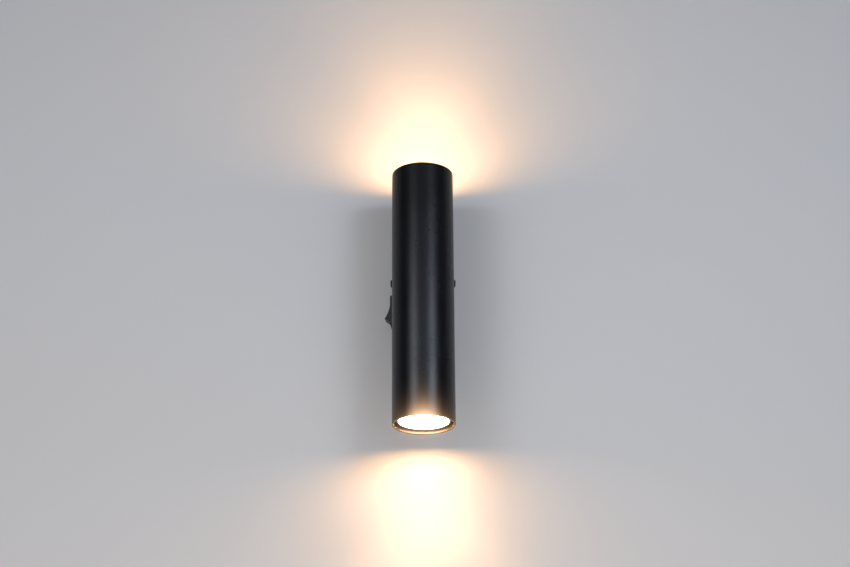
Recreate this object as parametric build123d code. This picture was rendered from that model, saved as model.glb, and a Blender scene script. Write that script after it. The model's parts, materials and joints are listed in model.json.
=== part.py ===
from build123d import *

import math
import os

# Tube wall light that shines up and down, with a rocker switch on its back box.
# Frame: the origin is on the wall, at the middle of the light. +Y goes into the wall, -Y into
# the room, +X to the right as seen from the room, +Z up. Lengths are in millimetres.

# ---------------------------------------------------------------- driving sizes
# Tube
TUBE_DIAMETER = 60.0
TUBE_WALL = 2.0
TUBE_LENGTH = 260.0
TUBE_EDGE_ROUND = 0.6
SADDLE_THICKNESS = 1.5          # of the washers, where the tube comes nearest to the box

# Back box of folded sheet, narrower at the wall than at the tube
BOX_DEPTH = 28.5
BOX_HEIGHT = 110.0
BOX_FRONT_WIDTH = 61.0
BOX_REAR_WIDTH = 54.7
BOX_SHEET = 1.2
BOX_BEND = 2.0                  # outer radius of its folds

# Wall bracket
BRACKET_SHEET = 1.5
BRACKET_WIDTH = 42.0
BRACKET_HEIGHT = 96.0
BRACKET_CORNER = 4.0
SLOT_SPACING = 72.0
SLOT_LENGTH = 14.0
SLOT_WIDTH = 5.0
EAR_WIDTH = 16.0
EAR_REACH = 21.0                # from the wall to the ear's tip
EAR_BEND = 1.0                  # inner radius
MOUTH_CLEARANCE = 0.35          # between the ear tips and the mouth of the box
DISH_DEPTH = 2.0
DISH_FLAT_RADIUS = 12.5
DISH_RADIUS = 16.0

# Cable grommet in the bracket
CABLE_HOLE_DIAMETER = 9.0
GROMMET_NECK_RADIUS = 8.0
GROMMET_FLANGE_RADIUS = 11.0
GROMMET_LIP = 2.0

# Machine screws
M4_DIAMETER = 4.0
M4_HEAD_DIAMETER = 8.0
M4_HEAD_HEIGHT = 3.1
M4_CLEARANCE_HOLE = 4.5
M4_NUT_FLATS = 7.0
M4_NUT_HEIGHT = 3.2
M3_DIAMETER = 3.0
M3_HEAD_DIAMETER = 5.5
M3_HEAD_HEIGHT = 2.0
M3_CLEARANCE_HOLE = 3.4
BLOCK_SCREW_DIAMETER = 2.5
THREAD_CLEARANCE = 0.05         # radial, between a thread and its tapped hole
SIDE_SCREW_LENGTH = 8.0
SIDE_SCREW_HEIGHT = 32.5        # above the middle of the light
SIDE_SCREW_FROM_WALL = 15.0
FIXING_SCREW_LENGTH = 12.0
FIXING_SCREW_SPACING = 80.0
EARTH_SCREW_LENGTH = 6.0
SADDLE_RADIUS = 6.0

# Cable bush between box and tube
BUSH_RADIUS = 4.5
BUSH_BORE_RADIUS = 3.25
BUSH_FLANGE_RADIUS = 7.0
BUSH_FLANGE = 1.5
BUSH_BARB = 0.35
FIT_CLEARANCE = 0.1             # radial, between pieces that are pushed together

# Rocker switch, in its own frame: s up, w towards the wall, n out of the bezel's face
SWITCH_HEIGHT = 2.1             # its middle, above the middle of the light
SWITCH_OFF_FRONT = 14.0         # its middle, from the plane of the box's front
BEZEL_LENGTH = 31.0
BEZEL_WIDTH = 15.0
BEZEL_THICKNESS = 3.0
BEZEL_ROUND = 0.8
HOUSING_LENGTH = 27.4
HOUSING_WIDTH = 12.4
HOUSING_DEPTH = 15.5            # behind the outer face of the box
HOUSING_WALL = 0.8
HOUSING_FLOOR = 1.2
CUTOUT_CLEARANCE = 0.1
LATCH_PROUD = 0.9
LATCH_LENGTH = 3.6
ROCKER_CLEARANCE = 0.3
ROCKER_PIVOT_DEPTH = 5.0        # behind the bezel's face
ROCKER_HALF_TILT = 15.1
ROCKER_HOLLOW_RADIUS = 32.0
ROCKER_RIDGE_HEIGHT = 2.98      # of the ridge at each end, above the bezel, with the rocker level
ROCKER_END_LEAN = 1.21          # of each end face, from its foot in to its ridge
SKIRT_CLEARANCE = 0.42          # between the round skirts and the ends of the pocket
SKIRT_TOP_ANGLE = 22.4          # of the foot of an end face, seen from the pivot
SKIRT_END_ANGLE = -8.0          # of the skirt's lower edge, seen from the pivot
ROCKER_SHELL = 1.3
ROCKER_PIN_RADIUS = 1.5
ROCKER_PIN_LENGTH = 0.6
PIN_CLEARANCE = 0.1
SOCKET_RADIUS = 2.5
SOCKET_BORE_RADIUS = 1.6
SOCKET_REACH = 4.5              # below the pivot
SOCKET_ROOT = 0.5               # sunk into the rocker's face
PLUNGER_RADIUS = 1.5
PLUNGER_REACH = 8.0             # from the pivot to its tip
PLUNGER_LENGTH = 5.5
SPRING_WIRE = 0.4
SPRING_TURNS = 5
LEVER_PIVOT_DEPTH = 13.7        # behind the bezel's face
LEVER_THICKNESS = 0.6
LEVER_ARM = 9.0
LEVER_WIDTH = 5.0
LEVER_RISE = 15.0               # of each arm, with the rocker level
LEVER_TILT_RATIO = 0.5          # the lever tilts this share of the rocker's tilt, the other way
CONTACT_GAP = 0.3
CONTACT_RADIUS = 1.3
CONTACT_HEIGHT = 0.8
BLADE_WIDTH = 4.8
BLADE_THICKNESS = 0.8
BLADE_LENGTH = 7.5              # behind the housing
BLADE_SPACING = 8.0

# Push-on receptacles of the switch
RECEPTACLE_WIDTH = 6.4
RECEPTACLE_THICKNESS = 2.6
RECEPTACLE_LENGTH = 7.0
RECEPTACLE_GAP = 0.6            # from the housing
BARREL_RADIUS = 1.6
BARREL_LENGTH = 3.5

# Terminal block
POLE_COUNT = 4
POLE_PITCH = 9.0
BLOCK_MIDDLE = (8.0, -28.5)     # x and z
BLOCK_LENGTH = 14.0             # along the wires
BLOCK_HEIGHT = 11.0
BLOCK_ROUND = 1.0
CLAMP_RADIUS = 2.1
CLAMP_BORE_RADIUS = 1.5
CLAMP_LENGTH = 10.0
CLAMP_AXIS = 4.5                # above the block's foot
FUNNEL_RADIUS = 2.6
CLAMP_SCREW_RADIUS = 1.4
CLAMP_SCREW_SPACING = 5.4
WELL_RADIUS = 1.8
WELL_DEPTH = 4.4
BLOCK_SCREW_SINK = 1.8

# Earth point and leads
EARTH_POINT = (-17.0, -28.5)    # x and z
EARTH_TAG_RADIUS = 4.0
EARTH_TAG_THICKNESS = 0.8
EARTH_TAG_REACH = 8.0
LEAD_DIAMETER = 1.5
LEAD_STAGGER = 0.9              # of the four leads in the bush, each way
LEAD_ROW = 1.6                  # between leads that share a pole
LEAD_END_GAP = 0.2

# Holder bracket in the tube
HOLDER_BRACKET_SHEET = 1.5
HOLDER_BRACKET_WIDTH = 14.0
HOLDER_BRACKET_BEND = 1.5
SHELF_RADIUS = 22.0
SHELF_HOLE_RADIUS = 7.0
LEG_TAIL = 10.0                 # of its leg, past the fixing screw

# Lamp holder
HOLDER_RADIUS = 14.0
HOLDER_BASE_HEIGHT = 8.4
HOLDER_CAP_HEIGHT = 7.7
HOLDER_CAP_TOP = 3.0
HOLDER_EDGE = 0.8
HOLDER_SCREW_SPACING = 19.0
HOLDER_SCREW_SINK = 2.4
CAVITY_LENGTH = 18.4
CAVITY_WIDTH = 10.8
CONTACT_STRIP = 0.5
CONTACT_STRIP_WIDTH = 5.0
CONTACT_RADIUS_FROM_AXIS = 7.75
CONTACT_POCKET_DEPTH = 2.4
LEAD_HOLE_RADIUS = 1.1

# Lamp with two twist-lock pins
LAMP_DIAMETER = 50.0
LAMP_RECESS = 3.5               # of its face below the end of the tube
LAMP_LENGTH = 47.0              # from its face to its base, without the pins
LAMP_STANDOFF = 0.4             # between its base and the holder
LAMP_RIM_HEIGHT = 7.5
LAMP_NECK_RADIUS = 13.0
LAMP_NECK_HEIGHT = 6.5
LAMP_SHELL = 1.3
LAMP_PLUG = 4.0                 # of the base, inside the shell
LENS_RADIUS = 24.0
LENS_THICKNESS = 2.5
LENS_CONE_FOOT_RADIUS = 8.5
BOARD_RADIUS = 19.0
BOARD_THICKNESS = 1.6
BOARD_DEPTH = 18.5              # below the lamp's face
EMITTER_RADIUS = 6.0
EMITTER_THICKNESS = 0.9
PIN_SPACING = 10.0
PIN_NECK_RADIUS = 1.55
PIN_HEAD_RADIUS = 2.45
PIN_HEAD_LENGTH = 3.2
PIN_LENGTH = 7.1
PIN_ROOT = 4.0                  # inside the lamp base
KEYHOLE_CLEARANCE = 0.35
LOCK_ANGLE = 30.0               # twist between entry hole and lock
DRIVER_WIDTH = 15.0
DRIVER_THICKNESS = 1.2
CAPACITOR_RADIUS = 3.5
CHOKE_WIDTH = 8.0
CHOKE_DEPTH = 6.0

# ---------------------------------------------------------------- places worked out from them
TUBE_RADIUS = TUBE_DIAMETER / 2
TUBE_BORE_RADIUS = TUBE_RADIUS - TUBE_WALL
TUBE_OFFSET = BOX_DEPTH + SADDLE_THICKNESS + TUBE_RADIUS
BOX_FLOOR = BOX_DEPTH - BOX_SHEET                       # inner face of the box's front
BOX_SLOPE = (BOX_FRONT_WIDTH - BOX_REAR_WIDTH) / 2 / BOX_DEPTH
BOX_TAPER = math.degrees(math.atan(BOX_SLOPE))
LEAD_RADIUS = LEAD_DIAMETER / 2
FIXING_HEIGHT = FIXING_SCREW_SPACING / 2
SWITCH_FROM_WALL = BOX_DEPTH - SWITCH_OFF_FRONT
PANEL_LEVEL = -BEZEL_THICKNESS                          # outer face of the box, seen by the switch
HOUSING_FOOT = PANEL_LEVEL - HOUSING_DEPTH
POCKET_LENGTH = HOUSING_LENGTH - 2 * HOUSING_WALL
POCKET_WIDTH = HOUSING_WIDTH - 2 * HOUSING_WALL
ROCKER_WIDTH = POCKET_WIDTH - 2 * ROCKER_CLEARANCE
LEVER_REST_TILT = ROCKER_HALF_TILT * LEVER_TILT_RATIO
LAMP_FACE = TUBE_LENGTH / 2 - LAMP_RECESS
LAMP_FOOT = LAMP_FACE - LAMP_LENGTH
HOLDER_TOP = LAMP_FOOT - LAMP_STANDOFF
HOLDER_BASE_TOP = HOLDER_TOP - HOLDER_CAP_HEIGHT
SHELF_HEIGHT = HOLDER_BASE_TOP - HOLDER_BASE_HEIGHT     # upper face of the bracket's shelf
BLOCK_BACK = BOX_FLOOR - BLOCK_HEIGHT                   # face of the block, from the wall
POLE_DISTANCE = BOX_FLOOR - CLAMP_AXIS                  # clamp axes, from the wall
LEG_FACE = TUBE_OFFSET - math.sqrt(TUBE_BORE_RADIUS**2 - (HOLDER_BRACKET_WIDTH / 2) ** 2)

# ---------------------------------------------------------------- frames
# Here local z is the distance from the wall, local x the part's X and local y the part's Z.
FROM_WALL = Rot(X=90)
TUBE_AXIS = Pos(0, -TUBE_OFFSET, 0)
# The lower end of the tube is the upper one turned half round, so both twist locks match.
ENDS = {"upper": TUBE_AXIS, "lower": TUBE_AXIS * Rot(Y=180)}
UP_FROM = (Align.CENTER, Align.CENTER, Align.MIN)
DOWN_FROM = (Align.CENTER, Align.CENTER, Align.MAX)


def side_frame(side, from_wall, height):
    """A frame on a side of the box, with z out of it. Side is -1 on the left, 1 on the right."""
    x = BOX_REAR_WIDTH / 2 + BOX_SLOPE * from_wall
    outward = (side * math.cos(math.radians(BOX_TAPER)), math.sin(math.radians(BOX_TAPER)), 0)
    return Plane((side * x, -from_wall, height), x_dir=(0, 0, 1), z_dir=outward).location


SWITCH_FRAME = side_frame(-1, SWITCH_FROM_WALL, SWITCH_HEIGHT) * Pos(0, 0, BEZEL_THICKNESS)


def ring(outer_radius, inner_radius, height, align=UP_FROM):
    return Cylinder(outer_radius, height, align=align) - Cylinder(inner_radius, height, align=align)


def pan_screw(diameter, head_diameter, head_height, length):
    """A pan head screw with its seat at z = 0 and its point at -length."""
    shank = Cylinder(diameter / 2 - THREAD_CLEARANCE, length, align=DOWN_FROM)
    point = shank.edges().group_by(Axis.Z)[0]
    shank = chamfer(point, diameter / 8)
    head = Cylinder(head_diameter / 2, head_height, align=UP_FROM)
    head = fillet(head.edges().group_by(Axis.Z)[-1], head_height * 0.45)
    arm = Box(head_diameter * 0.5, head_diameter * 0.12, head_height)
    recess = Pos(0, 0, head_height) * (arm + Rot(Z=90) * arm)
    return head + shank - recess


# ---------------------------------------------------------------- tube and box
def outer_tube():
    tube = Cylinder(TUBE_RADIUS, TUBE_LENGTH) - Cylinder(TUBE_BORE_RADIUS, TUBE_LENGTH)
    rims = tube.edges().filter_by(GeomType.CIRCLE)
    tube = TUBE_AXIS * fillet(rims, TUBE_EDGE_ROUND)
    for height in (-FIXING_HEIGHT, FIXING_HEIGHT):
        tube -= FROM_WALL * Pos(0, height, 0) * through_hole(M4_CLEARANCE_HOLE / 2)
    return tube - FROM_WALL * through_hole(BUSH_RADIUS + FIT_CLEARANCE)


def through_hole(radius):
    """A drill from the wall to the middle of the tube."""
    return Cylinder(radius, TUBE_OFFSET, align=UP_FROM)


def box_block(inset):
    """The outside of the back box, or with an inset its inside, which runs on past the wall."""
    rear = -BOX_SHEET if inset else 0
    front = BOX_DEPTH - inset
    side = inset / math.cos(math.radians(BOX_TAPER))

    def half_width(distance):
        return BOX_REAR_WIDTH / 2 + BOX_SLOPE * distance - side

    outline = Polygon(
        (-half_width(rear), -rear),
        (-half_width(front), -front),
        (half_width(front), -front),
        (half_width(rear), -rear),
        align=None,
    )
    block = extrude(outline, BOX_HEIGHT / 2 - inset, both=True)
    folds = block.edges().filter_by(lambda edge: edge.center().Y < -rear - 1)
    return fillet(folds, BOX_BEND - inset)


def back_box():
    box = box_block(0) - box_block(BOX_SHEET)
    front_holes = Pos(0, 0, BOX_FLOOR - 1) * (
        Cylinder(BUSH_RADIUS + FIT_CLEARANCE, BOX_SHEET + 2, align=UP_FROM)
        + Pos(0, FIXING_HEIGHT, 0) * Cylinder(M4_CLEARANCE_HOLE / 2, BOX_SHEET + 2, align=UP_FROM)
        + Pos(0, -FIXING_HEIGHT, 0) * Cylinder(M4_CLEARANCE_HOLE / 2, BOX_SHEET + 2, align=UP_FROM)
        + Pos(*EARTH_POINT, 0) * Cylinder(M4_DIAMETER / 2, BOX_SHEET + 2, align=UP_FROM)
        + Pos(*BLOCK_MIDDLE, 0) * Cylinder(BLOCK_SCREW_DIAMETER / 2, BOX_SHEET + 2, align=UP_FROM)
    )
    box -= FROM_WALL * front_holes
    for side in (-1, 1):
        box -= side_frame(side, SIDE_SCREW_FROM_WALL, SIDE_SCREW_HEIGHT) * Cylinder(
            M4_CLEARANCE_HOLE / 2, 4 * BOX_SHEET
        )
    cutout = Box(
        HOUSING_LENGTH + 2 * CUTOUT_CLEARANCE,
        HOUSING_WIDTH + 2 * CUTOUT_CLEARANCE,
        4 * BOX_SHEET,
    )
    return box - side_frame(-1, SWITCH_FROM_WALL, SWITCH_HEIGHT) * cutout


def saddle(outer_radius, bore_radius):
    """A spacer that is flat on the box and hollowed to the tube's round back."""
    height = SADDLE_THICKNESS + TUBE_RADIUS / 4
    spacer = Pos(0, 0, BOX_DEPTH) * ring(outer_radius, bore_radius, height)
    return FROM_WALL * spacer - TUBE_AXIS * Cylinder(TUBE_RADIUS, TUBE_LENGTH)


def saddle_washers():
    washer = saddle(SADDLE_RADIUS, M4_CLEARANCE_HOLE / 2)
    return [Pos(0, 0, height) * washer for height in (-FIXING_HEIGHT, FIXING_HEIGHT)]


def bush_spacer():
    return saddle(BUSH_FLANGE_RADIUS + 0.5, BUSH_RADIUS + FIT_CLEARANCE)


def cable_bush():
    """A push-in bush: a flange in the box, a sleeve into the tube and a barb behind its wall."""
    barb_start = BOX_DEPTH + SADDLE_THICKNESS + TUBE_WALL + 0.5
    barb_length = 1.4
    start = BOX_FLOOR - BUSH_FLANGE
    barb_radius = BUSH_RADIUS + BUSH_BARB
    outline = Polyline(
        (BUSH_BORE_RADIUS, BOX_FLOOR),
        (BUSH_BORE_RADIUS + BUSH_FLANGE, start),
        (BUSH_FLANGE_RADIUS, start),
        (BUSH_FLANGE_RADIUS, BOX_FLOOR),
        (BUSH_RADIUS, BOX_FLOOR),
        (BUSH_RADIUS, barb_start),
        (barb_radius, barb_start),
        (BUSH_RADIUS - BUSH_BARB, barb_start + barb_length),
        (BUSH_BORE_RADIUS, barb_start + barb_length),
        close=True,
    )
    return FROM_WALL * revolve(Plane.XZ * make_face(outline), Axis.Z)


def tube_fixing_screws():
    screw = pan_screw(M4_DIAMETER, M4_HEAD_DIAMETER, M4_HEAD_HEIGHT, FIXING_SCREW_LENGTH)
    screw = FROM_WALL * Pos(0, 0, BOX_FLOOR) * Rot(X=180) * screw
    return [Pos(0, 0, height) * screw for height in (-FIXING_HEIGHT, FIXING_HEIGHT)]


def tube_fixing_nuts():
    flats = RegularPolygon(M4_NUT_FLATS / 2, 6, major_radius=False)
    nut = extrude(flats - Circle(M4_DIAMETER / 2), M4_NUT_HEIGHT)
    nut = FROM_WALL * Pos(0, 0, LEG_FACE + HOLDER_BRACKET_SHEET) * nut
    return [Pos(0, 0, height) * nut for height in (-FIXING_HEIGHT, FIXING_HEIGHT)]


def side_screws():
    screw = pan_screw(M4_DIAMETER, M4_HEAD_DIAMETER, M4_HEAD_HEIGHT, SIDE_SCREW_LENGTH)
    return [
        side_frame(side, SIDE_SCREW_FROM_WALL, SIDE_SCREW_HEIGHT) * screw for side in (-1, 1)
    ]


# ---------------------------------------------------------------- wall bracket
def bracket_ear(side):
    """An ear at the side of the bracket, parallel to the side of the box that it carries."""
    inner_mouth = BOX_REAR_WIDTH / 2 - BOX_SHEET / math.cos(math.radians(BOX_TAPER))
    root = inner_mouth - MOUTH_CLEARANCE - BOX_SLOPE * EAR_REACH
    tip = root + BOX_SLOPE * EAR_REACH
    thickness = BRACKET_SHEET / math.cos(math.radians(BOX_TAPER))
    start = BRACKET_WIDTH / 2 - EAR_BEND - BRACKET_SHEET
    outline = Polygon(
        (start, 0),
        (start, -BRACKET_SHEET),
        (root - thickness + BOX_SLOPE * BRACKET_SHEET, -BRACKET_SHEET),
        (tip - thickness, -EAR_REACH),
        (tip, -EAR_REACH),
        (root, 0),
        align=None,
    )
    corners = outline.vertices()
    inner_bend = corners.sort_by_distance((root - thickness, -BRACKET_SHEET))[0]
    outline = fillet(inner_bend, EAR_BEND)
    outer_bend = outline.vertices().sort_by_distance((root, 0))[0]
    outline = fillet(outer_bend, EAR_BEND + BRACKET_SHEET)
    ear = extrude(outline, EAR_WIDTH / 2, both=True)
    ear = Pos(0, 0, SIDE_SCREW_HEIGHT) * ear
    if side < 0:
        ear = mirror(ear, Plane.YZ)
    tapped = side_frame(side, SIDE_SCREW_FROM_WALL, SIDE_SCREW_HEIGHT) * Cylinder(
        M4_DIAMETER / 2, 4 * SIDE_SCREW_LENGTH
    )
    return ear - tapped


def wall_bracket():
    plate = extrude(RectangleRounded(BRACKET_WIDTH, BRACKET_HEIGHT, BRACKET_CORNER), BRACKET_SHEET)
    slot = extrude(SlotOverall(SLOT_LENGTH, SLOT_WIDTH, rotation=90), BRACKET_SHEET)
    for height in (-SLOT_SPACING / 2, SLOT_SPACING / 2):
        plate -= Pos(0, height, 0) * slot
    plate -= Cylinder(DISH_RADIUS, BRACKET_SHEET, align=UP_FROM)
    neck = GROMMET_NECK_RADIUS + FIT_CLEARANCE
    dish = Polyline(
        (neck, DISH_DEPTH),
        (DISH_FLAT_RADIUS, DISH_DEPTH),
        (DISH_RADIUS - 1, 0),
        (DISH_RADIUS, 0),
        (DISH_RADIUS, BRACKET_SHEET),
        (DISH_FLAT_RADIUS + 1, DISH_DEPTH + BRACKET_SHEET),
        (neck, DISH_DEPTH + BRACKET_SHEET),
        close=True,
    )
    plate += revolve(Plane.XZ * make_face(dish), Axis.Z)
    return FROM_WALL * plate + bracket_ear(-1) + bracket_ear(1)


def cable_grommet():
    bore = CABLE_HOLE_DIAMETER / 2
    groove_end = DISH_DEPTH + BRACKET_SHEET
    outline = Polyline(
        (bore, 0),
        (GROMMET_FLANGE_RADIUS, 0),
        (GROMMET_FLANGE_RADIUS, DISH_DEPTH),
        (GROMMET_NECK_RADIUS, DISH_DEPTH),
        (GROMMET_NECK_RADIUS, groove_end),
        (GROMMET_FLANGE_RADIUS - 0.5, groove_end),
        (GROMMET_FLANGE_RADIUS - 1.5, groove_end + GROMMET_LIP),
        (bore + 1.2, groove_end + GROMMET_LIP + 1),
        (bore, groove_end + GROMMET_LIP + 1),
        close=True,
    )
    return FROM_WALL * revolve(Plane.XZ * make_face(outline), Axis.Z)


# ---------------------------------------------------------------- rocker switch
def switch_housing():
    flange = Box(BEZEL_LENGTH, BEZEL_WIDTH, BEZEL_THICKNESS, align=DOWN_FROM)
    upright = flange.edges().filter_by(Axis.Z)
    flange = fillet(upright, BEZEL_ROUND)
    flange = fillet(flange.edges().group_by(Axis.Z)[-1], BEZEL_ROUND)
    body = Pos(0, 0, PANEL_LEVEL) * Box(
        HOUSING_LENGTH, HOUSING_WIDTH, HOUSING_DEPTH, align=DOWN_FROM
    )
    housing = flange + body
    pocket_depth = BEZEL_THICKNESS + HOUSING_DEPTH - HOUSING_FLOOR
    housing -= Box(POCKET_LENGTH, POCKET_WIDTH, pocket_depth, align=DOWN_FROM)
    pin_hole = Cylinder(ROCKER_PIN_RADIUS + PIN_CLEARANCE, HOUSING_WIDTH)
    housing -= Pos(0, 0, -ROCKER_PIVOT_DEPTH) * Rot(X=90) * pin_hole
    for s in (0, -BLADE_SPACING):
        blade_slot = Box(BLADE_THICKNESS, BLADE_WIDTH, 4 * HOUSING_FLOOR)
        housing -= Pos(s, 0, HOUSING_FOOT) * blade_slot
    latch_top = PANEL_LEVEL - BOX_SHEET - CUTOUT_CLEARANCE
    latch_outline = Polygon(
        (HOUSING_LENGTH / 2, latch_top),
        (HOUSING_LENGTH / 2 + LATCH_PROUD, latch_top),
        (HOUSING_LENGTH / 2, latch_top - LATCH_LENGTH),
        align=None,
    )
    latch = extrude(Plane.XZ * latch_outline, HOUSING_WIDTH / 4, both=True)
    return SWITCH_FRAME * (housing + latch + mirror(latch, Plane.YZ))


def skirt_point(angle):
    """A point of the round skirt in the s-n plane, at an angle above the level of the pivot."""
    radius = POCKET_LENGTH / 2 - SKIRT_CLEARANCE
    turn = math.radians(angle)
    return radius * math.cos(turn), radius * math.sin(turn) - ROCKER_PIVOT_DEPTH


def rocker_outline():
    """The level rocker in the s-n plane: hollow face, two ridges, end faces, round skirts."""
    end_s, end_n = skirt_point(SKIRT_TOP_ANGLE)
    foot_s, foot_n = skirt_point(SKIRT_END_ANGLE)
    bulge_s, bulge_n = skirt_point((SKIRT_TOP_ANGLE + SKIRT_END_ANGLE) / 2)
    ridge_s, ridge_n = end_s - ROCKER_END_LEAN, ROCKER_RIDGE_HEIGHT
    sag = ROCKER_HOLLOW_RADIUS - math.sqrt(ROCKER_HOLLOW_RADIUS**2 - ridge_s**2)
    hollow = ThreePointArc((-ridge_s, ridge_n), (0, ridge_n - sag), (ridge_s, ridge_n))
    right = ThreePointArc((end_s, end_n), (bulge_s, bulge_n), (foot_s, foot_n))
    left = ThreePointArc((-foot_s, foot_n), (-bulge_s, bulge_n), (-end_s, end_n))
    lines = [
        hollow,
        Line((ridge_s, ridge_n), (end_s, end_n)),
        right,
        Line((foot_s, foot_n), (-foot_s, foot_n)),
        left,
        Line((-end_s, end_n), (-ridge_s, ridge_n)),
    ]
    return make_face(Curve() + lines)


def tilted_rocker(solid):
    """The rocker's pieces are drawn level and stand tilted, with the upper half pressed in."""
    pivot = Pos(0, 0, -ROCKER_PIVOT_DEPTH)
    return SWITCH_FRAME * pivot * Rot(Y=ROCKER_HALF_TILT) * pivot.inverse() * solid


def rocker():
    """A moulded shell with round skirts, pivot pins and a socket for the spring plunger."""
    solid = extrude(Plane.XZ * rocker_outline(), ROCKER_WIDTH / 2, both=True)
    inner_outline = offset(rocker_outline(), -ROCKER_SHELL)
    inside = extrude(Plane.XZ * inner_outline, ROCKER_WIDTH / 2 - ROCKER_SHELL, both=True)
    foot = solid.bounding_box().min.Z
    opening = Pos(0, 0, foot) * Box(
        2 * (skirt_point(SKIRT_TOP_ANGLE)[0] - ROCKER_SHELL),
        ROCKER_WIDTH - 2 * ROCKER_SHELL,
        2.2 * ROCKER_SHELL,
    )
    socket_foot = Pos(0, 0, -ROCKER_PIVOT_DEPTH - SOCKET_REACH)
    socket_height = SOCKET_REACH + ROCKER_PIVOT_DEPTH
    socket = Cylinder(SOCKET_RADIUS, socket_height + SOCKET_ROOT, align=UP_FROM)
    pin = Cylinder(ROCKER_PIN_RADIUS, ROCKER_WIDTH + 2 * ROCKER_PIN_LENGTH)
    pin -= Cylinder(2 * ROCKER_PIN_RADIUS, ROCKER_WIDTH - 2 * ROCKER_SHELL)
    moulding = solid - inside - opening + socket_foot * socket
    moulding += Pos(0, 0, -ROCKER_PIVOT_DEPTH) * Rot(X=90) * pin
    moulding -= socket_foot * Cylinder(SOCKET_BORE_RADIUS, socket_height, align=UP_FROM)
    return tilted_rocker(moulding)


def rocker_plunger():
    tip = -ROCKER_PIVOT_DEPTH - PLUNGER_REACH
    plunger = Cylinder(PLUNGER_RADIUS, PLUNGER_LENGTH, align=UP_FROM)
    plunger = fillet(plunger.edges().group_by(Axis.Z)[0], PLUNGER_RADIUS * 0.95)
    return tilted_rocker(Pos(0, 0, tip) * plunger)


def rocker_spring():
    foot = -ROCKER_PIVOT_DEPTH - PLUNGER_REACH + PLUNGER_LENGTH
    height = -foot - SPRING_WIRE
    radius = SOCKET_BORE_RADIUS - SPRING_WIRE
    coil = Helix(pitch=height / SPRING_TURNS, height=height, radius=radius)
    section = Plane(origin=coil @ 0, z_dir=coil % 0) * Circle(SPRING_WIRE / 2)
    return tilted_rocker(Pos(0, 0, foot + SPRING_WIRE / 2) * sweep(section, path=coil, is_frenet=True))


def contact_lever():
    """A see-saw of sheet with two rising arms, tipped by the plunger."""
    arm = Box(LEVER_ARM, LEVER_WIDTH, LEVER_THICKNESS, align=(Align.MIN, Align.CENTER, Align.CENTER))
    arm = Rot(Y=-LEVER_RISE) * arm
    lever = arm + mirror(arm, Plane.YZ)
    return SWITCH_FRAME * Pos(0, 0, -LEVER_PIVOT_DEPTH) * Rot(Y=-LEVER_REST_TILT) * lever


def switch_terminals():
    """The middle blade carries the see-saw, the lower one has the contact that it closes on."""
    blade_foot = HOUSING_FOOT - BLADE_LENGTH
    under_lever = LEVER_THICKNESS / 2 / math.cos(math.radians(LEVER_RISE)) + CONTACT_GAP
    cradle = -LEVER_PIVOT_DEPTH - under_lever
    middle = Pos(0, 0, blade_foot) * Box(
        BLADE_THICKNESS, BLADE_WIDTH, cradle - blade_foot, align=UP_FROM
    )
    arm_rise = BLADE_SPACING * math.tan(math.radians(LEVER_RISE - LEVER_REST_TILT))
    contact_top = cradle + arm_rise
    seat = contact_top - CONTACT_HEIGHT
    lower = Pos(0, 0, blade_foot) * Box(
        BLADE_THICKNESS, BLADE_WIDTH, seat - blade_foot, align=UP_FROM
    )
    lower += Pos(0, 0, seat) * Box(
        2 * CONTACT_RADIUS + BLADE_THICKNESS, BLADE_WIDTH, BLADE_THICKNESS, align=DOWN_FROM
    )
    lower += Pos(0, 0, seat) * Cylinder(CONTACT_RADIUS, CONTACT_HEIGHT, align=UP_FROM)
    return [SWITCH_FRAME * middle, SWITCH_FRAME * Pos(-BLADE_SPACING, 0, 0) * lower]


def switch_receptacles():
    """Push-on receptacles with a crimp barrel for the lead."""
    sleeve = Box(RECEPTACLE_THICKNESS, RECEPTACLE_WIDTH, RECEPTACLE_LENGTH, align=DOWN_FROM)
    sleeve = fillet(sleeve.edges().filter_by(Axis.Z), RECEPTACLE_THICKNESS / 4)
    barrel = Cylinder(BARREL_RADIUS, BARREL_LENGTH, align=DOWN_FROM)
    receptacle = Pos(0, 0, -RECEPTACLE_GAP) * (sleeve + Pos(0, 0, -RECEPTACLE_LENGTH) * barrel)
    receptacle -= Box(BLADE_THICKNESS, BLADE_WIDTH, BLADE_LENGTH, align=DOWN_FROM)
    return [
        SWITCH_FRAME * Pos(s, 0, HOUSING_FOOT) * receptacle for s in (0, -BLADE_SPACING)
    ]


# ---------------------------------------------------------------- terminal block and earth point
def pole_x(pole):
    """Poles are counted from the left: earth, neutral, switched live, live."""
    return BLOCK_MIDDLE[0] + (pole - (POLE_COUNT - 1) / 2) * POLE_PITCH


def at_pole(pole):
    """A frame on a clamp's axis, with x along the clamp, upwards, and z towards the wall."""
    middle = (pole_x(pole), -POLE_DISTANCE, BLOCK_MIDDLE[1])
    return Plane(middle, x_dir=(0, 0, 1), z_dir=(0, 1, 0)).location


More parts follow.
